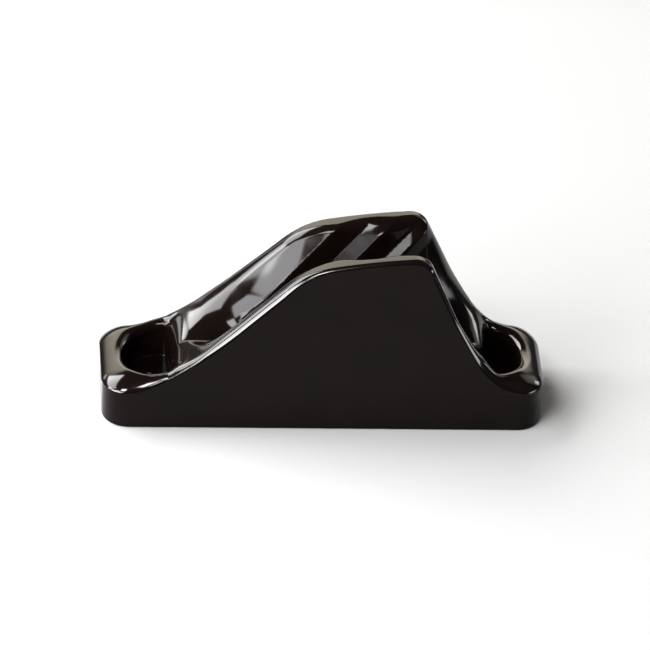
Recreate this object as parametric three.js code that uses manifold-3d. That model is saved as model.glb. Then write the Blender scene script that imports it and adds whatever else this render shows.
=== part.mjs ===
// V-jaw jam cleat for small rope, moulded in one piece.
// Millimetres, +Z up, the underside on Z = 0. The length runs along X, with the load end at -X.
// The body is symmetric about Y = 0. Rope lies in the V groove between the two walls.
import * as THREE from 'three';
import Module from 'manifold-3d';

// Base and plan outline
const LENGTH = 66;
const WIDTH = 21;
const CORNER_X = 4.1;          // plan corner, an ellipse quarter
const CORNER_Y = 5.2;
const PARTING_Z = 5.6;         // height of the mould parting line
const PARTING_LIP = 0.25;      // step in below the parting line
const WALL_DRAFT = 0.08;       // lean of the long sides, mm in per mm up

// Crest line seen from the side: [x, slope in degrees], joined by circular arcs
const CREST_START_Z = 6.64;
const CREST = [
  [-40, 2], [-33, 5], [-29, 10], [-25, 18], [-22, 24], [-18, 36.5], [-13, 41.8], [-6, 41.8], [1, 10],
  [12.8, 4], [15.7, -65], [19, -65], [23, -52], [26, -30], [29, -10], [33, -7], [40, -5],
];
const EDGE_ROUND = 1.2;        // outer top edge along the walls
const PLATEAU_ROUND = 0.6;     // the same edge along the high part
const STEEP_ROUND = 0.8;       // the same edge down the steep end
const FLANGE_DROP = 2.2;       // the edges of the two ends roll down this far
const FLANGE_REACH = 4.2;      // and this far in

// Groove between the jaws
const FLOOR_Z = 9.25;
const FLOOR_HALF = 0.5;
const WALL_TOP = 2.15;         // wall thickness at the crest
const GROOVE_MAX_HALF = 7.6;
const LIP_BREAK = 0.5;         // small break on the inner top edges
const ROOF = 4;                // how far the cutter stands above the crest

// Jaw teeth: [position along the slanted direction, stand-in from the plain jaw]
const TEETH = [
  [-4.5, 0], [1.95, 1.35], [6.2, 0.35], [9.1, 1.45], [13.1, 0.2], [15.5, 0.8], [18, 0],
];
const TEETH_REF_Z = 25.6;      // height where slanted position equals x; the teeth run at 45 degrees
const FADE_LOW = 1;            // the teeth fade in between these heights above the floor
const FADE_HIGH = 6;
const TEETH_TOP_LOSS = 0.6;    // the teeth shrink by this much over the last 2 mm below the crest

// Screw pockets at the two ends
const POCKET_TIP = 29.4;
const POCKET_HALF = 7.5;
const POCKET_CORNER_X = 5.4;
const POCKET_CORNER_Y = 7.4;
const POCKET_FRONT_CURVE = 0.012;
const POCKET_CORNER = 0.8;
const POCKET_FLOOR_Z = 2.6;
const POCKET_RIM = 0.9;
const HOLE_RADIUS = 2.1;
const ENDS = [
  { side: -1, front: 21.9, hole: 26 },
  { side: 1, front: 24.5, hole: 26.8 },
];

const radians = (degrees) => degrees * Math.PI / 180;
const lerp = (a, b, t) => a + (b - a) * t;
const clamp = (v, lo, hi) => Math.min(Math.max(v, lo), hi);

function smooth(a, b, v) {
  const t = clamp((v - a) / (b - a), 0, 1);
  return t * t * (3 - 2 * t);
}

// ---- crest line ------------------------------------------------------------------------------

const CREST_Z = [CREST_START_Z];
for (let i = 1; i < CREST.length; i += 1) {
  const run = CREST[i][0] - CREST[i - 1][0];
  CREST_Z.push(CREST_Z[i - 1] + run * Math.tan(radians((CREST[i][1] + CREST[i - 1][1]) / 2)));
}

function crest(x) {
  let i = 0;
  while (i < CREST.length - 2 && x > CREST[i + 1][0]) i += 1;
  const [x0, a0] = CREST[i];
  const [x1, a1] = CREST[i + 1];
  const s = lerp(Math.sin(radians(a0)), Math.sin(radians(a1)), (x - x0) / (x1 - x0));
  const z = CREST_Z[i] + (x - x0) * Math.tan((radians(a0) + Math.asin(s)) / 2);
  return { z, stretch: 1 / Math.sqrt(1 - s * s) };
}

function solve(f, lo, hi) {
  let a = lo;
  let b = hi;
  const sign = Math.sign(f(a));
  for (let i = 0; i < 50; i += 1) {
    const m = (a + b) / 2;
    if (Math.sign(f(m)) === sign) a = m;
    else b = m;
  }
  return (a + b) / 2;
}

// ---- mesh from closed loops -------------------------------------------------------------------

// Loops all hold the same number of points and run the same way round.
// Each end is closed by the given list of triangles over the loop's own point numbers.
function loftLoops(wasm, loops, cap) {
  const count = loops[0].length;
  const points = loops.flat();
  const tris = [];
  for (let k = 0; k + 1 < loops.length; k += 1) {
    for (let i = 0; i < count; i += 1) {
      const j = (i + 1) % count;
      const a = k * count + i;
      const b = k * count + j;
      tris.push([a, b, b + count], [a, b + count, a + count]);
    }
  }
  const last = (loops.length - 1) * count;
  for (const [a, b, c] of cap) {
    tris.push([a, c, b]);
    tris.push([last + a, last + b, last + c]);
  }
  const mesh = new wasm.Mesh({
    numProp: 3,
    vertProperties: new Float32Array(points.flat()),
    triVerts: new Uint32Array(tris.flat()),
  });
  mesh.merge();
  return new wasm.Manifold(mesh);
}

// Cap for a loop whose point i mirrors point (count - 1 - i)
function ladderCap(count) {
  const tris = [];
  for (let i = 0; i + 1 < count / 2; i += 1) {
    const j = count - 1 - i;
    tris.push([i, i + 1, j - 1], [i, j - 1, j]);
  }
  return tris;
}

// ---- outer body ---------------------------------------------------------------------------------

function crestStations(from, to) {
  const xs = [];
  for (let i = 0; i + 1 < CREST.length; i += 1) {
    const [x0, a0] = CREST[i];
    const [x1, a1] = CREST[i + 1];
    const steps = Math.max(1, Math.ceil(Math.abs(a1 - a0) / 5), Math.ceil((x1 - x0) / 6));
    for (let k = 0; k < steps; k += 1) {
      const s = lerp(Math.sin(radians(a0)), Math.sin(radians(a1)), k / steps);
      const span = Math.sin(radians(a1)) - Math.sin(radians(a0));
      const t = Math.abs(span) < 1e-6 ? k / steps : (s - Math.sin(radians(a0))) / span;
      xs.push(lerp(x0, x1, t));
    }
  }
  return xs.filter((x) => x > from + 0.4 && x < to - 0.4);
}

// Points of one long side (y > 0) from the +X end to the -X end, with outward normals
function sidePoints() {
  const cx = LENGTH / 2 - CORNER_X;
  const cy = WIDTH / 2 - CORNER_Y;
  const corner = [];
  const steps = 8;
  for (let i = 0; i <= steps; i += 1) {
    const a = radians(90 * i / steps);
    const n = new THREE.Vector2(Math.cos(a) / CORNER_X, Math.sin(a) / CORNER_Y).normalize();
    corner.push({ x: cx + CORNER_X * Math.cos(a), y: cy + CORNER_Y * Math.sin(a), nx: n.x, ny: n.y });
  }
  const straight = crestStations(-cx, cx).reverse().map((x) => ({ x, y: WIDTH / 2, nx: 0, ny: 1 }));
  const left = corner.map((p) => ({ ...p, x: -p.x, nx: -p.nx })).reverse();
  return [...corner, ...straight, ...left];
}

function outerLoop(side, place) {
  const half = side.map((p) => {
    const { inset, z } = place(p);
    const x = p.x - p.nx * inset;
    const lean = WALL_DRAFT * z * smooth(33, 26, Math.abs(x));
    return [x, p.y - p.ny * inset - lean, z];
  });
  const mirror = half.map(([x, y, z]) => [x, -y, z]).reverse();
  return [...half, ...mirror];
}

function makeBody(wasm) {
  const side = sidePoints();
  const rounding = (p) => {
    const { z, stretch } = crest(p.x);
    const high = lerp(EDGE_ROUND, PLATEAU_ROUND, smooth(-8, 0, p.x));
    const wall = lerp(high, STEEP_ROUND, smooth(12, 17, p.x));
    const flange = smooth(20, 27.5, Math.abs(p.x));
    const reach = lerp(wall, FLANGE_REACH, flange);
    const drop = lerp(wall, FLANGE_DROP, flange) * stretch;
    const start = Math.asin(clamp((PARTING_Z - (z - drop)) / drop, 0, 1));
    return { reach, drop, start };
  };
  const loops = [
    outerLoop(side, () => ({ inset: PARTING_LIP, z: 0 })),
    outerLoop(side, () => ({ inset: PARTING_LIP, z: PARTING_Z })),
    outerLoop(side, () => ({ inset: 0, z: PARTING_Z + 0.02 })),
  ];
  const steps = 7;
  for (let k = 0; k <= steps; k += 1) {
    loops.push(outerLoop(side, (p) => {
      const { reach, drop, start } = rounding(p);
      const a = lerp(start, Math.PI / 2, k / steps);
      const inset = reach * (Math.cos(start) - Math.cos(a));
      const z = crest(p.x - p.nx * inset).z - drop * (1 - Math.sin(a));
      return { inset, z: Math.max(z, PARTING_Z + 0.03 + 0.01 * k) };
    }));
  }
  return loftLoops(wasm, loops, ladderCap(2 * side.length));
}

// ---- groove ---------------------------------------------------------------------------------------

function innerHalf(x) {
  return Math.min(WIDTH / 2 - WALL_DRAFT * crest(x).z - WALL_TOP, GROOVE_MAX_HALF);
}

function toothHeight(s) {
  if (s <= TEETH[0][0]) return TEETH[0][1];
  for (let i = 1; i < TEETH.length; i += 1) {
    const [s0, t0] = TEETH[i - 1];
    const [s1, t1] = TEETH[i];
    if (s <= s1) return lerp(t0, t1, (s - s0) / (s1 - s0));
  }
  return 0;
}

function jawY(x, z) {
  const depth = Math.max(crest(x).z - FLOOR_Z, 0.05);
  const slope = (innerHalf(x) - FLOOR_HALF) / depth;
  const topLoss = TEETH_TOP_LOSS * smooth(2, 0, crest(x).z - z) * smooth(1, 6, x);
  const fade = smooth(FLOOR_Z + FADE_LOW, FLOOR_Z + FADE_HIGH, z) * (1 - topLoss);
  const tooth = toothHeight(x - (z - TEETH_REF_Z)) * fade;
  return FLOOR_HALF + (z - FLOOR_Z) * slope - tooth;
}

// Height of the finished top surface, before the pockets
function surfaceZ(x, y) {
  const top = crest(x).z;
  const reach = (Math.abs(y) - FLOOR_HALF) / (innerHalf(x) - FLOOR_HALF);
  return Math.min(top, FLOOR_Z + Math.max(top - FLOOR_Z, 0) * Math.max(reach, 0));
}

// Lines from the floor to the crest: [x at the floor, x at the crest]
function jawLines() {
  const edge = (lo, hi) => solve((x) => crest(x).z - FLOOR_Z - 0.04, lo, hi);
  const slanted = (s) => [
    s + FLOOR_Z - TEETH_REF_Z,
    solve((x) => x - (crest(x).z - TEETH_REF_Z) - s, -12, 24),
  ];
  const first = slanted(TEETH[1][0]);
  const last = slanted(TEETH[TEETH.length - 1][0]);
  const left = edge(-28, -16);
  const right = edge(20, 30);
  const lines = [];
  const leftSteps = 14;
  for (let i = 0; i < leftSteps; i += 1) {
    lines.push([lerp(left, first[0], i / leftSteps), lerp(left, first[1], i / leftSteps)]);
  }
  for (let i = 1; i + 1 < TEETH.length; i += 1) {
    const steps = 3;
    for (let k = 0; k < steps; k += 1) {
      lines.push(slanted(lerp(TEETH[i][0], TEETH[i + 1][0], k / steps)));
    }
  }
  const rightSteps = 10;
  for (let i = 0; i <= rightSteps; i += 1) {
    lines.push([lerp(last[0], right, i / rightSteps), lerp(last[1], right, i / rightSteps)]);
  }
  return lines;
}

function makeGrooveCutter(wasm) {
  const rise = 12;
  const loops = jawLines().map(([floorX, topX]) => {
    const top = crest(topX).z;
    const lip = Math.min(LIP_BREAK, (top - FLOOR_Z) / 2);
    const half = [];
    for (let k = 0; k <= rise; k += 1) {
      const z = lerp(FLOOR_Z, top - lip, k / rise);
      const x = lerp(floorX, topX, (z - FLOOR_Z) / (top - FLOOR_Z));
      half.push([x, Math.max(jawY(x, z), FLOOR_HALF), z]);
    }
    const edgeY = Math.max(half[rise][1], jawY(topX, top));
    half.push([topX, edgeY + lip * 0.3, top - lip * 0.3]);
    half.push([topX, edgeY + lip, top + 0.02]);
    half.push([topX, edgeY + lip, top + ROOF]);
    const mirror = half.map(([x, y, z]) => [x, -y, z]).reverse();
    return [...half, ...mirror];
  });
  return loftLoops(wasm, loops, ladderCap(loops[0].length));
}

// ---- screw pockets ----------------------------------------------------------------------------------

function roundMax(a, b, r) {
  return Math.min(Math.max(a, b), -r) + Math.hypot(Math.max(a + r, 0), Math.max(b + r, 0));
}

// Distance to the pocket outline in plan, negative inside; x measured towards the end
function pocketDistance(end, x, y) {
  const side = Math.abs(y);
  const cx = POCKET_TIP - POCKET_CORNER_X;
  const cy = POCKET_HALF - POCKET_CORNER_Y;
  let wall = side - POCKET_HALF;
  if (x > cx && side <= cy) wall = x - POCKET_TIP;
  if (x > cx && side > cy) {
    const u = (x - cx) / POCKET_CORNER_X;
    const v = (side - cy) / POCKET_CORNER_Y;
    const q = Math.max(Math.hypot(u, v), 1e-6);
    wall = (q - 1) * q / Math.max(Math.hypot(u / POCKET_CORNER_X, v / POCKET_CORNER_Y), 1e-6);
  }
  const slope = 2 * POCKET_FRONT_CURVE * side;
  const front = (end.front + POCKET_FRONT_CURVE * side * side - x) / Math.sqrt(1 + slope * slope);
  return roundMax(wall, front, POCKET_CORNER);
}

function pocketOutline(end, offset, count) {
  const points = [];
  for (let i = 0; i < count; i += 1) {
    const a = radians(360 * (i + 0.5) / count);
    const at = (r) => pocketDistance(end, end.hole + r * Math.cos(a), r * Math.sin(a)) - offset;
    const r = solve(at, 0.1, 12);
    points.push([end.hole + r * Math.cos(a), r * Math.sin(a)]);
  }
  return points;
}

function makePocketCutter(wasm, end) {
  const count = 64;
  const above = (x, y, z) => surfaceZ(x, y) + z;
  const rings = [
    { offset: -0.6, z: () => POCKET_FLOOR_Z },
    { offset: -0.2, z: () => POCKET_FLOOR_Z + 0.2 },
    { offset: 0, z: () => POCKET_FLOOR_Z + 0.6 },
    { offset: 0, z: (x, y) => above(x, y, -POCKET_RIM) },
    { offset: POCKET_RIM * 0.3, z: (x, y) => above(x, y, -POCKET_RIM * 0.3) },
    { offset: POCKET_RIM, z: (x, y) => above(x, y, 0.02) },
    { offset: POCKET_RIM, z: () => 20 },
  ];
  const loops = rings.map(({ offset, z }) => {
    const loop = pocketOutline(end, offset, count).map(([x, y]) => [end.side * x, y, z(end.side * x, y)]);
    return end.side > 0 ? loop : loop.reverse();
  });
  return loftLoops(wasm, loops, ladderCap(count));
}

function makeHoleCutter(wasm, end) {
  const count = 40;
  const loops = [-1, POCKET_FLOOR_Z + 1].map((z) => {
    const loop = [];
    for (let i = 0; i < count; i += 1) {
      const a = radians(360 * (i + 0.5) / count);
      loop.push([end.side * end.hole + HOLE_RADIUS * Math.cos(a), HOLE_RADIUS * Math.sin(a), z]);
    }
    return loop;
  });
  return loftLoops(wasm, loops, ladderCap(count));
}

// ---- assembly -----------------------------------------------------------------------------------------

function toMesh(solid, name, material) {
  const data = solid.getMesh();
  const geometry = new THREE.BufferGeometry();
  const positions = new Float32Array(data.triVerts.length * 3);
  for (let i = 0; i < data.triVerts.length; i += 1) {
    const at = data.triVerts[i] * data.numProp;
    positions.set(data.vertProperties.subarray(at, at + 3), i * 3);
  }
  geometry.setAttribute('position', new THREE.BufferAttribute(positions, 3));
  geometry.computeVertexNormals();
  const mesh = new THREE.Mesh(geometry, material);
  mesh.name = name;
  return mesh;
}

const wasm = await Module();
wasm.setup();

let body = makeBody(wasm).subtract(makeGrooveCutter(wasm));
for (const end of ENDS) {
  body = body.subtract(makePocketCutter(wasm, end));
  body = body.subtract(makeHoleCutter(wasm, end));
}

const blackNylon = new THREE.MeshStandardMaterial({ color: 0x1b1817, roughness: 0.14, metalness: 0 });
blackNylon.name = 'black_nylon';

const cleat = new THREE.Group();
cleat.name = 'jam_cleat';
cleat.add(toMesh(body, 'cleat_body', blackNylon));

export default cleat;
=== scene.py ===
"""One-piece jam cleat in glossy black nylon, on a pale floor in soft studio light.

The body is one implicit solid, in millimetres: rounded outer form, V groove with slanting teeth,
screw pockets and holes. It is meshed here, then scaled to metres.
"""
import math

import bpy
import numpy as np
from mathutils import Matrix, Vector


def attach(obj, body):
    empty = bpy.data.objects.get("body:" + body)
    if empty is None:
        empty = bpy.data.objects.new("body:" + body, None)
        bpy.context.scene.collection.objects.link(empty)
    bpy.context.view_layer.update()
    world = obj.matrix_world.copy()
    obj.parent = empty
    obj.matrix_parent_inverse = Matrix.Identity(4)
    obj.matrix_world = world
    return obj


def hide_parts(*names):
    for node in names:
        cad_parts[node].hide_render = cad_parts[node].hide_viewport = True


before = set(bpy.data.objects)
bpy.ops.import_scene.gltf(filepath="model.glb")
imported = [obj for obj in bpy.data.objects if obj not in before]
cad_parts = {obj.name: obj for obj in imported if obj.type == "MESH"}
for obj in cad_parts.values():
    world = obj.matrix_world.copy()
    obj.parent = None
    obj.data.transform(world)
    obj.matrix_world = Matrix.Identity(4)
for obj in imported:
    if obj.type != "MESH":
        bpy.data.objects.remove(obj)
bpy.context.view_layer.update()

MM = 0.001
TINY = 1e-6

# ---------------------------------------------------------------- sizes, in millimetres
LENGTH = 66.0
WIDTH = 21.0
CORNER = (4.1, 5.2)            # plan corner, an ellipse quarter
PARTING_Z = 5.6
PARTING_LIP = 0.25             # step in below the parting line
WALL_DRAFT = 0.08
CREST = [                      # (x, slope in degrees), joined by circular arcs
    (-40, 2), (-33, 5), (-29, 10), (-25, 18), (-22, 24), (-18, 36.5), (-13, 41.8), (-6, 41.8),
    (1, 10), (12.8, 4), (15.7, -65), (19, -65), (23, -52), (26, -30), (29, -10), (33, -7), (40, -5),
]
CREST_START_Z = 6.64
DRAFT_SPAN = (33, 26)          # distance from the middle where the draft is none, then full
EDGE_ROUND = 1.2               # outer top edge of the walls, along the lead-in
PLATEAU_ROUND = 0.6            # the same edge along the high part
PLATEAU_SPAN = (-8, 0)         # x where EDGE_ROUND becomes PLATEAU_ROUND
STEEP_ROUND = 0.8              # the same edge down the steep end
STEEP_SPAN = (12, 17)          # x where PLATEAU_ROUND becomes STEEP_ROUND
FLANGE_DROP = 2.2              # the flange edges roll down this far, over FLANGE_REACH
FLANGE_REACH = 4.2
FLANGE_SPAN = (20, 27.5)       # distance from the middle where the walls' edge becomes the flange's
STEP_HALF = 0.06               # half the height over which the parting step is made
BASE_ROUND = 0.25
FLOOR_Z = 9.25                 # the groove's floor
FLOOR_HALF = 0.2               # how softly the two jaws meet there
WALL_TOP = 2.15                # from the outer face to the groove, at the crest
GROOVE_MAX_HALF = 7.6
INNER_ROUND = 0.8
FUNNEL_ROUND = 1.5             # inner edge near the lead-in end
FUNNEL_SPAN = (-14, -22)       # x where INNER_ROUND becomes FUNNEL_ROUND
TEETH = [                      # (position along the slant, stand-in from the plain jaw)
    (-4.5, 0), (1.95, 1.35), (6.2, 0.35), (9.1, 1.45), (13.1, 0.2), (15.5, 0.8), (18, 0),
]
TEETH_REF_Z = 25.6
TOOTH_ROUND = 0.35
TEETH_FADE = (1, 6)            # heights above the groove floor where the teeth start and are full
TEETH_TOP_LOSS = 0.6           # share of the teeth lost over TEETH_TOP_REACH below the crest
TEETH_TOP_REACH = 2
TEETH_TOP_SPAN = (1, 6)        # x where that loss comes in
POCKET_TIP = 29.4
POCKET_HALF = 7.5
POCKET_CORNER = (5.4, 7.4)
POCKET_FRONT = (21.9, 24.5)    # at the lead-in end and at the steep end
POCKET_CURVE = 0.012           # bow of the front wall, per millimetre
POCKET_FRONT_ROUND = 0.8       # where the front wall meets the rest of the outline
POCKET_FLOOR_Z = 2.6
POCKET_FLOOR_ROUND = 0.3
POCKET_RIM = (1.7, 2.1)        # at the lead-in end and at the steep end
FUNNEL_RIM = 2.2               # where the lead-in groove runs into its pocket
FUNNEL_RIM_SPAN = (-25.5, -22.5)
FUNNEL_RIM_LIMIT = (-10, -12)  # x that keeps FUNNEL_RIM to the lead-in end
HOLE_X = (-26.0, 26.8)
HOLE_RADIUS = 2.1
HOLE_RIM = 0.15

# ---------------------------------------------------------------- meshing
MESH_STEP = 0.2
MESH_SIDE = 0.6                # room left round the body in the grid, along x and below
MESH_ACROSS = 0.1              # and along y
MESH_TOP_Z = 28.2
SLAB = 24                      # grid layers worked out at a time
PROJECTIONS = 4                # steps that move the mesh's points onto the surface
LEAST_SLOPE = 0.2              # keeps a step short where the field is flat


# ---------------------------------------------------------------- implicit solid
def smooth(a, b, v):
    t = np.clip((v - a) / (b - a), 0, 1)
    return t * t * (3 - 2 * t)


def round_max(a, b, r):
    """The larger of two distances, with a convex edge of radius r."""
    return np.minimum(np.maximum(a, b), -r) + np.hypot(np.maximum(a + r, 0), np.maximum(b + r, 0))


CREST_X = np.array([c[0] for c in CREST], float)
CREST_SIN = np.sin(np.radians([c[1] for c in CREST]))
CREST_Z = CREST_START_Z + np.concatenate([[0], np.cumsum([
    (b[0] - a[0]) * math.tan(math.radians((a[1] + b[1]) / 2)) for a, b in zip(CREST, CREST[1:])
])])


def crest(x):
    """Height and slope of the side view's top line."""
    x = np.clip(x, CREST_X[0] + TINY, CREST_X[-1] - TINY)
    k = np.clip(np.searchsorted(CREST_X, x) - 1, 0, len(CREST_X) - 2)
    run = x - CREST_X[k]
    s = CREST_SIN[k] + (CREST_SIN[k + 1] - CREST_SIN[k]) * run / (CREST_X[k + 1] - CREST_X[k])
    height = CREST_Z[k] + run * np.tan((np.arcsin(CREST_SIN[k]) + np.arcsin(s)) / 2)
    return height, s / np.sqrt(1 - s * s)


def plan_distance(x, y, half, corner):
    """Distance to a rectangle with elliptical corners, for x and y that aren't negative."""
    cx, cy = half[0] - corner[0], half[1] - corner[1]
    u, v = np.maximum(x - cx, 0) / corner[0], np.maximum(y - cy, 0) / corner[1]
    q = np.hypot(u, v)
    steepness = np.hypot(u / corner[0], v / corner[1]) / np.maximum(q, TINY)
    at_corner = (q - 1) / np.maximum(steepness, TINY)
    past_x, past_y = x - half[0], y - half[1]
    straight = np.where(x > cx, past_x, np.where(y > cy, past_y, np.maximum(past_x, past_y)))
    return np.where((x > cx) & (y > cy), at_corner, straight)


def tooth(s):
    """How far the jaw stands in at s along the slant, averaged over TOOTH_ROUND each way."""
    xs, ys = np.array(TEETH, float).T
    return sum(np.interp(s + o * TOOTH_ROUND, xs, ys) for o in (-1, -0.5, 0, 0.5, 1)) / 5


def solid(x, y, z):
    """Below zero inside the moulding."""
    side, end = np.abs(y), np.abs(x)
    height, slope = crest(x)
    top = (z - height) / np.sqrt(1 + slope * slope)
    lean = WALL_DRAFT * np.maximum(z, 0) * smooth(*DRAFT_SPAN, end)
    plan = plan_distance(end, side + lean, (LENGTH / 2, WIDTH / 2), CORNER)
    wall = EDGE_ROUND + (PLATEAU_ROUND - EDGE_ROUND) * smooth(*PLATEAU_SPAN, x)
    wall = wall + (STEEP_ROUND - wall) * smooth(*STEEP_SPAN, x)
    flange = smooth(*FLANGE_SPAN, end)
    drop = wall + (FLANGE_DROP - wall) * flange
    reach = wall + (FLANGE_REACH - wall) * flange
    sunk = np.clip(1 - (height - PARTING_Z) / (drop * np.sqrt(1 + slope * slope)), 0, 1)
    tuck = reach * (1 - np.sqrt(1 - sunk * sunk))
    above = smooth(PARTING_Z - STEP_HALF, PARTING_Z + STEP_HALF, z)
    upper = round_max(top, (plan - tuck) * drop / reach, drop)
    body = above * upper + (1 - above) * (plan + PARTING_LIP)
    body = round_max(body, -z, BASE_ROUND)

    inner = np.minimum(WIDTH / 2 - WALL_DRAFT * height - WALL_TOP, GROOVE_MAX_HALF)
    across = np.sqrt(side * side + FLOOR_HALF * FLOOR_HALF) - FLOOR_HALF
    top_loss = TEETH_TOP_LOSS * smooth(TEETH_TOP_REACH, 0, height - z) * smooth(*TEETH_TOP_SPAN, x)
    fade = smooth(FLOOR_Z + TEETH_FADE[0], FLOOR_Z + TEETH_FADE[1], z) * (1 - top_loss)
    across = across + tooth(x - (z - TEETH_REF_Z)) * fade
    rise = np.maximum(height - FLOOR_Z, 0) / (inner - FLOOR_HALF)
    swing = slope * across / (inner - FLOOR_HALF) * (height > FLOOR_Z)
    groove = (z - FLOOR_Z - rise * across) / np.sqrt(1 + rise * rise + swing * swing)
    inner_edge = INNER_ROUND + (FUNNEL_ROUND - INNER_ROUND) * smooth(*FUNNEL_SPAN, x)
    body = round_max(body, groove, inner_edge)

    outline = plan_distance(end, side, (POCKET_TIP, POCKET_HALF), POCKET_CORNER)
    front = np.where(x < 0, *POCKET_FRONT) + POCKET_CURVE * side * side - end
    front = front / np.sqrt(1 + (2 * POCKET_CURVE * side) ** 2)
    pocket = round_max(outline, front, POCKET_FRONT_ROUND)
    pocket = round_max(pocket, POCKET_FLOOR_Z - z, POCKET_FLOOR_ROUND)
    rim = np.where(x < 0, *POCKET_RIM)
    rim = rim + (FUNNEL_RIM - rim) * smooth(*FUNNEL_RIM_SPAN, x) * smooth(*FUNNEL_RIM_LIMIT, x)
    body = round_max(body, -pocket, rim)
    hole = np.hypot(x - np.where(x < 0, *HOLE_X), y)
    return round_max(body, HOLE_RADIUS - hole, HOLE_RIM)


# ---------------------------------------------------------------- mesh of the body
def surface_nets(field, low, high, step):
    """Quads on the zero level of field: one point in each grid cell that the surface crosses."""
    counts = [int(math.ceil((high[i] - low[i]) / step)) + 1 for i in range(3)]
    axes = [low[i] + step * np.arange(counts[i]) for i in range(3)]
    values = np.empty(counts, np.float32)
    for start in range(0, counts[0], SLAB):
        part = slice(start, min(start + SLAB, counts[0]))
        values[part] = field(*np.meshgrid(axes[0][part], axes[1], axes[2], indexing="ij"))
    inside = values < 0
    cells = [n - 1 for n in counts]
    filled = np.zeros(cells, np.int8)
    corners = [(a, b, c) for a in (0, 1) for b in (0, 1) for c in (0, 1)]
    for a, b, c in corners:
        filled += inside[a:cells[0] + a, b:cells[1] + b, c:cells[2] + c]
    active = (filled > 0) & (filled < 8)
    index = np.full(active.shape, -1, np.int32)
    index[active] = np.arange(active.sum())
    cell = np.argwhere(active)
    at = {k: values[cell[:, 0] + k[0], cell[:, 1] + k[1], cell[:, 2] + k[2]] for k in corners}
    total = np.zeros((len(cell), 3))
    hits = np.zeros(len(cell))
    for k in corners:
        for axis in range(3):
            if k[axis]:
                continue
            other = tuple(1 if i == axis else k[i] for i in range(3))
            crossed = (at[k] < 0) != (at[other] < 0)
            t = np.where(crossed, at[k] / np.where(at[k] == at[other], 1, at[k] - at[other]), 0)
            point = np.array(k, float) + t[:, None] * (np.array(other, float) - np.array(k, float))
            total += np.where(crossed[:, None], point, 0)
            hits += crossed
    points = (cell + total / hits[:, None]) * step + np.array(low)
    faces = []
    for axis in range(3):
        u, v = [i for i in range(3) if i != axis]
        lower, upper = [slice(None)] * 3, [slice(None)] * 3
        lower[axis], upper[axis] = slice(0, -1), slice(1, None)
        changed = inside[tuple(lower)] != inside[tuple(upper)]
        edge = np.argwhere(changed)
        flip = inside[tuple(lower)][changed]
        if axis == 1:
            flip = ~flip
        quad = []
        for du, dv in ((-1, -1), (0, -1), (0, 0), (-1, 0)):
            near = edge.copy()
            near[:, u] += du
            near[:, v] += dv
            quad.append(index[near[:, 0], near[:, 1], near[:, 2]])
        quad = np.stack(quad, 1)
        quad[~flip] = quad[~flip][:, ::-1]
        faces.append(quad)
    return points, np.concatenate(faces)


def gradient(field, points, reach=0.01):
    """Slope of field at each point, by central differences."""
    columns = []
    for axis in range(3):
        offset = np.zeros(3)
        offset[axis] = reach
        ahead, behind = (points + offset).T, (points - offset).T
        columns.append((field(*ahead) - field(*behind)) / (2 * reach))
    return np.stack(columns, 1)


def make_body():
    low = (-LENGTH / 2 - MESH_SIDE, -WIDTH / 2 - MESH_ACROSS, -MESH_SIDE)
    high = (LENGTH / 2 + MESH_SIDE, WIDTH / 2 + MESH_ACROSS, MESH_TOP_Z)
    points, faces = surface_nets(solid, low, high, MESH_STEP)
    for _ in range(PROJECTIONS):
        slope = gradient(solid, points)
        square = np.maximum((slope * slope).sum(1), LEAST_SLOPE)
        off = np.clip(solid(*points.T), -MESH_STEP, MESH_STEP)
        points = points - slope * (off / square)[:, None]
    normals = gradient(solid, points)
    normals /= np.linalg.norm(normals, axis=1)[:, None]
    mesh = bpy.data.meshes.new("moulded_body")
    mesh.from_pydata((points * MM).tolist(), [], faces.tolist())
    mesh.polygons.foreach_set("use_smooth", [True] * len(mesh.polygons))
    mesh.validate()
    mesh.normals_split_custom_set_from_vertices(normals.tolist())
    body = bpy.data.objects.new("moulded_body", mesh)
    bpy.context.scene.collection.objects.link(body)
    return body


# ---------------------------------------------------------------- material
class Nodes:
    """Short calls for building a node material."""

    def __init__(self, name):
        self.material = bpy.data.materials.new(name)
        self.material.use_nodes = True
        self.tree = self.material.node_tree
        self.shader = self.tree.nodes["Principled BSDF"]
        coordinates = self.tree.nodes.new("ShaderNodeTexCoord").outputs
        self.place, self.facing = coordinates["Object"], coordinates["Normal"]

    def link(self, source, target):
        self.tree.links.new(source, target)

    def add(self, kind, inputs=(), **settings):
        node = self.tree.nodes.new(kind)
        for key, value in settings.items():
            setattr(node, key, value)
        for key, value in dict(inputs).items():
            if isinstance(value, bpy.types.NodeSocket):
                self.link(value, node.inputs[key])
            else:
                node.inputs[key].default_value = value
        return node

    def noise(self, scale, detail=2.0, roughness=0.5):
        inputs = {"Vector": self.place, "Scale": scale, "Detail": detail, "Roughness": roughness}
        return self.add("ShaderNodeTexNoise", inputs).outputs["Fac"]

    def ramp(self, value, low, high, out_low=0.0, out_high=1.0):
        inputs = {"Value": value, "From Min": low, "From Max": high}
        inputs.update({"To Min": out_low, "To Max": out_high})
        node = self.add("ShaderNodeMapRange", inputs, interpolation_type="SMOOTHSTEP")
        return node.outputs["Result"]

    def math(self, operation, a, b):
        return self.add("ShaderNodeMath", {0: a, 1: b}, operation=operation).outputs[0]

    def bump(self, height, strength, distance, normal=None):
        inputs = {"Height": height, "Strength": strength, "Distance": distance}
        if normal:
            inputs["Normal"] = normal
        return self.add("ShaderNodeBump", inputs).outputs["Normal"]


# the second value is a painted highlight: the raised specular level on the walls' outer edges
GLOSS, EDGE_PAINTED_HIGHLIGHT = 0.12, 0.34
EDGE_NEAR_SIDE = (9.6 * MM, 9.8 * MM)   # |y| with the draft taken out
EDGE_TURNED_OUT = (0.42, 0.55)          # |y| of the normal, past the top face
EDGE_NOT_FLAT = (0.93, 0.85)            # and short of the outer face
EDGE_UPWARD = (0.1, 0.2)                # z of the normal, which leaves out the upright corners


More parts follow.
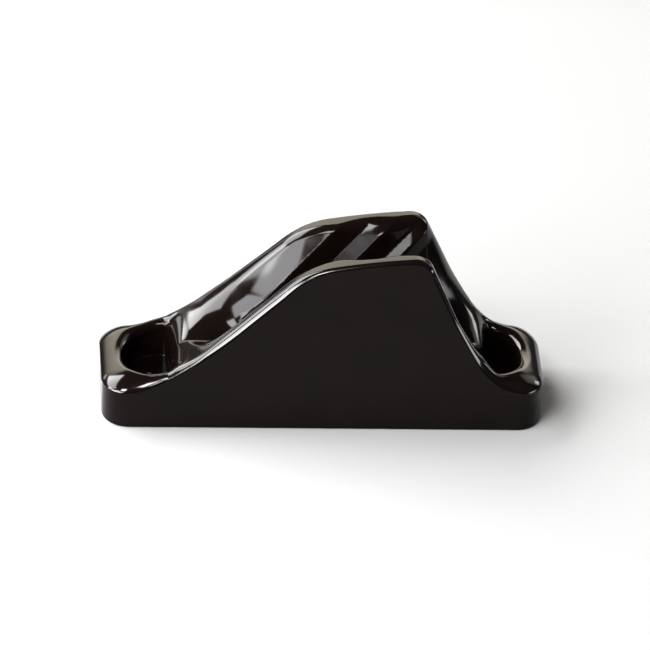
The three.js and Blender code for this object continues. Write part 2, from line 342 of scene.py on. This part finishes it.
def black_nylon():
    n = Nodes("black_nylon")
    shader = n.shader
    shader.inputs["IOR"].default_value = 1.5

    # colour: nearly black and slightly warm, in two shades that blend in soft clouds
    cloud = n.ramp(n.noise(140.0, 3.0), 0.35, 0.7)
    mix = n.add("ShaderNodeMix", data_type="RGBA")
    n.link(cloud, mix.inputs["Factor"])
    mix.inputs["A"].default_value = (0.0015, 0.0008, 0.0006, 1)
    mix.inputs["B"].default_value = (0.0021, 0.0011, 0.0008, 1)
    n.link(mix.outputs["Result"], shader.inputs["Base Color"])

    # roughness: polished, with faint duller patches
    patch = n.ramp(n.noise(420.0, 4.0, 0.6), 0.3, 0.8, 0.08, 0.12)
    n.link(patch, shader.inputs["Roughness"])

    # specular level: GLOSS everywhere except the walls' outer edges, which carry a painted
    # highlight: a higher specular level there, tuned so that the near edge's bright line reads as in
    # the photo; nothing shows that the plastic differs.
    spot = n.add("ShaderNodeSeparateXYZ", {0: n.place}).outputs
    facing = n.add("ShaderNodeSeparateXYZ", {0: n.facing}).outputs
    outward = n.math("ABSOLUTE", facing["Y"], 0.0)
    lean = n.math("MULTIPLY", spot["Z"], WALL_DRAFT)
    near_side = n.ramp(n.math("ADD", n.math("ABSOLUTE", spot["Y"], 0.0), lean), *EDGE_NEAR_SIDE)
    edge = n.math("MULTIPLY", n.ramp(outward, *EDGE_TURNED_OUT), n.ramp(outward, *EDGE_NOT_FLAT))
    edge = n.math("MULTIPLY", edge, n.math("MULTIPLY", near_side, n.ramp(facing["Z"], *EDGE_UPWARD)))
    n.link(n.ramp(edge, 0.0, 1.0, GLOSS, EDGE_PAINTED_HIGHLIGHT), shader.inputs["Specular IOR Level"])

    # relief: shrink waves a few millimetres long, then a fine grain
    wave = n.bump(n.noise(230.0, 1.0), 0.25, 0.00006)
    grain = n.bump(n.noise(3200.0, 3.0, 0.6), 0.12, 0.00001, wave)
    n.link(grain, shader.inputs["Normal"])
    return n.material


# painted pool of light: the floor's colour is pale near the object and dark far from it
FLOOR_LIT_POOL = (0.217, 0.024)           # near the object and far from it
FLOOR_FADE = (0.13, 0.3)                # metres from the origin


def floor_material():
    n = Nodes("pale_floor")
    # painted pool of light: colour falls from pale to dark with distance from the origin
    reach = n.add("ShaderNodeVectorMath", {0: n.place}, operation="LENGTH").outputs["Value"]
    shade = n.ramp(reach, *FLOOR_FADE, *FLOOR_LIT_POOL)
    colour = n.add("ShaderNodeCombineColor", {"Red": shade, "Green": shade, "Blue": shade})
    n.link(colour.outputs["Color"], n.shader.inputs["Base Color"])
    n.shader.inputs["Roughness"].default_value = 0.9
    n.shader.inputs["Specular IOR Level"].default_value = 0.0
    return n.material


# ---------------------------------------------------------------- stage, light and camera
def make_floor():
    half = 3.0
    mesh = bpy.data.meshes.new("floor")
    corners = [(-half, -half, 0), (half, -half, 0), (half, half, 0), (-half, half, 0)]
    mesh.from_pydata(corners, [], [(0, 1, 2, 3)])
    mesh.materials.append(floor_material())
    floor = bpy.data.objects.new("floor", mesh)
    bpy.context.scene.collection.objects.link(floor)


LIGHT_DISTANCE = 1.0
LIGHT_AIM = (0, 0, 0.012)


def softbox(name, azimuth, elevation, width, height, radiance, colour=(1, 1, 1), soft=0.12):
    """Area light aimed at the object, fading over its outer share soft on each side.

    Azimuth runs from +X towards +Y. Angles are in degrees, sizes in metres.
    """
    a, e = math.radians(azimuth), math.radians(elevation)
    out = Vector((math.cos(e) * math.cos(a), math.cos(e) * math.sin(a), math.sin(e)))
    light = bpy.data.lights.new(name, "AREA")
    light.shape = "RECTANGLE"
    light.size, light.size_y = width, height
    light.energy = radiance * math.pi * width * height
    light.color = colour
    light.use_nodes = True
    tree = light.node_tree
    glow = tree.nodes["Emission"]
    place = tree.nodes.new("ShaderNodeSeparateXYZ")
    tree.links.new(tree.nodes.new("ShaderNodeNewGeometry").outputs["Parametric"], place.inputs[0])
    fade = None
    for axis in ("X", "Y"):
        for far in (False, True):
            ramp = tree.nodes.new("ShaderNodeMapRange")
            ramp.interpolation_type = "SMOOTHSTEP"
            tree.links.new(place.outputs[axis], ramp.inputs["Value"])
            ramp.inputs["From Min"].default_value = 1.0 if far else 0.0
            ramp.inputs["From Max"].default_value = 1.0 - soft if far else soft
            if fade is None:
                fade = ramp.outputs["Result"]
            else:
                times = tree.nodes.new("ShaderNodeMath")
                times.operation = "MULTIPLY"
                tree.links.new(fade, times.inputs[0])
                tree.links.new(ramp.outputs["Result"], times.inputs[1])
                fade = times.outputs[0]
    tree.links.new(fade, glow.inputs["Strength"])
    lamp = bpy.data.objects.new(name, light)
    lamp.location = Vector(LIGHT_AIM) + out * LIGHT_DISTANCE
    lamp.rotation_euler = out.to_track_quat("Z", "Y").to_euler()
    bpy.context.scene.collection.objects.link(lamp)


def make_lights():
    """Eleven panels, placed by following the photo's reflections back and then adjusted.

    They fit the photo's one view and aren't a record of the room that it was taken in.
    """
    world = bpy.data.worlds.new("studio")
    world.use_nodes = True
    background = world.node_tree.nodes["Background"]
    background.inputs["Color"].default_value = (0.96, 0.98, 1.0, 1)
    background.inputs["Strength"].default_value = 0.12
    bpy.context.scene.world = world
    softbox("back_left_panel", 149, 38, 0.96, 0.46, 30.0, soft=0.06)
    softbox("left_panel", -176, 23.5, 0.72, 0.33, 30.0, soft=0.06)
    softbox("front_left_panel", -147, 26, 0.46, 0.44, 28.0, (0.98, 0.97, 1.0), 0.06)
    softbox("front_left_edge", -128, 21, 0.26, 0.30, 40.0, soft=0.2)
    softbox("front_panel", -120, 48, 0.42, 0.30, 40.0)
    softbox("back_panel", 91, 22, 1.3, 0.48, 4.8, (1.0, 0.93, 0.76), 0.3)
    softbox("back_left_fill", 125, 14, 0.24, 0.2, 6.0, soft=0.35)
    softbox("back_right_panel", 42, 32, 0.6, 0.8, 2.6, (1.0, 0.95, 0.85), 0.3)
    softbox("tooth_glint", -117, 29, 0.14, 0.14, 24.0)
    softbox("right_low_panel", -12, 8, 1.0, 0.16, 11.0, soft=0.3)
    softbox("right_spot", 37, 16, 0.22, 0.32, 13.0, (1.0, 0.96, 0.86), 0.25)


def make_camera():
    azimuth, elevation, roll = math.radians(-3.927), math.radians(27.994), math.radians(2.379)
    distance = 1.26541
    target = Vector((0.42106, 0.0, 12.06838)) * MM
    scale = 6719.77                        # pixels per metre at the target, fitted to the photo
    picture = 650                          # pixels across
    back = Vector((math.sin(azimuth) * math.cos(elevation), -math.cos(azimuth) * math.cos(elevation),
                   math.sin(elevation)))
    right = (-back).cross(Vector((0, 0, 1))).normalized()
    up = right.cross(-back)
    rolled_right = right * math.cos(roll) + up * math.sin(roll)
    rolled_up = up * math.cos(roll) - right * math.sin(roll)
    data = bpy.data.cameras.new("camera")
    data.sensor_width = 36.0
    data.lens = data.sensor_width * scale * distance / picture
    data.clip_start = 0.05
    data.clip_end = 20.0
    camera = bpy.data.objects.new("camera", data)
    turn = Matrix((rolled_right, rolled_up, back)).transposed().to_4x4()
    camera.matrix_world = Matrix.Translation(target + back * distance) @ turn
    bpy.context.scene.collection.objects.link(camera)
    bpy.context.scene.camera = camera


bpy.context.scene.view_settings.view_transform = "Standard"
cleat = make_body()
cleat.data.materials.append(black_nylon())
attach(cleat, "root")
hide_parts("cleat_body")
make_floor()
make_lights()
make_camera()
